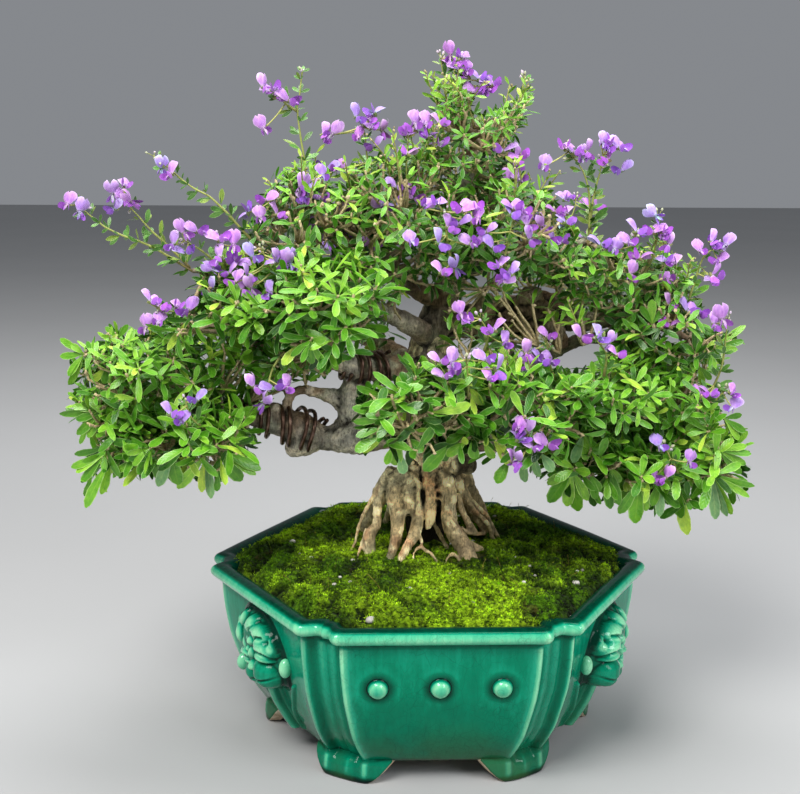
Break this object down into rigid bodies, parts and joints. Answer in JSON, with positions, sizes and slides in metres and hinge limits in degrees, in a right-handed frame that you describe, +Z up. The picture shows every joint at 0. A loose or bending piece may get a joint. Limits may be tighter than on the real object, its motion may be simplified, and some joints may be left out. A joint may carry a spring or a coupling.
{
  "type": "potted flowering bonsai tree",
  "caption": "Flowering desmodium bonsai with exposed roots, leafy pads, lilac flower sprays and training wire, in a six-sided green-glazed ceramic pot with lion masks.",
  "frame": {"origin": "centre of the whole plant's bounding box in plan, at the underside of the pot's feet", "axes": "+Z up, -Y towards the front face of the pot, +X to the viewer's right, along a corner-to-corner diameter of the pot"},
  "size_m": [0.4406, 0.2554, 0.4245],
  "materials": {
    "glaze": "glossy crackled emerald-green glaze, pooled dark in the recesses and pale on the lip",
    "mesh": "black drainage mesh",
    "soil": "loose brown grit and composted bark",
    "moss": "living moss, yellow-green to dark green cushions",
    "bark": "rough pale bark with grey lichen and dark crevices",
    "wire": "copper-brown anodised training wire",
    "leaf": "semi-glossy green leaves with paler margins",
    "flower": "soft lilac petals with violet wings on green stems"
  },
  "bodies": {
    "root": {"drain_screen": "mesh", "foliage_apex": "leaf", "foliage_back_left": "leaf", "foliage_back_low": "leaf", "foliage_back_right": "leaf", "foliage_back_top": "leaf", "foliage_front_centre": "leaf", "foliage_front_right": "leaf", "foliage_left_lower": "leaf", "foliage_left_tip": "leaf", "foliage_left_upper": "leaf", "foliage_midleft_inner": "leaf", "foliage_midleft_outer": "leaf", "foliage_right_lower": "leaf", "foliage_right_mid": "leaf", "foliage_right_outer_low": "leaf", "foliage_right_shoulder": "leaf", "foliage_right_tip": "leaf", "foliage_right_upper": "leaf", "foliage_upper_centre": "leaf", "foliage_upper_left": "leaf", "foliage_upper_right": "leaf", "moss": "moss", "pot": "glaze", "shoot_left_top": "flower", "soil": "soil", "spray_apex": "flower", "spray_back_left": "flower", "spray_back_right": "flower", "spray_centre_left": "flower", "spray_centre_right": "flower", "spray_front_centre": "flower", "spray_front_gap": "flower", "spray_front_right": "flower", "spray_front_upper": "flower", "spray_left_edge": "flower", "spray_left_front": "flower", "spray_left_inner": "flower", "spray_left_low": "flower", "spray_left_mid": "flower", "spray_long_left": "flower", "spray_right_inner": "flower", "spray_right_low": "flower", "spray_right_pair": "flower", "spray_right_tall": "flower", "spray_right_tip": "flower", "spray_shoulder": "flower", "spray_tall_left": "flower", "spray_top_near": "flower", "spray_top_right": "flower", "spray_upper_back": "flower", "spray_upper_centre": "flower", "spray_upper_left": "flower", "tree": "bark", "wire_lower_left_a": "wire", "wire_lower_left_b": "wire", "wire_mid_left_a": "wire", "wire_mid_left_b": "wire", "wire_neck": "wire"}
  },
  "joints": []
}
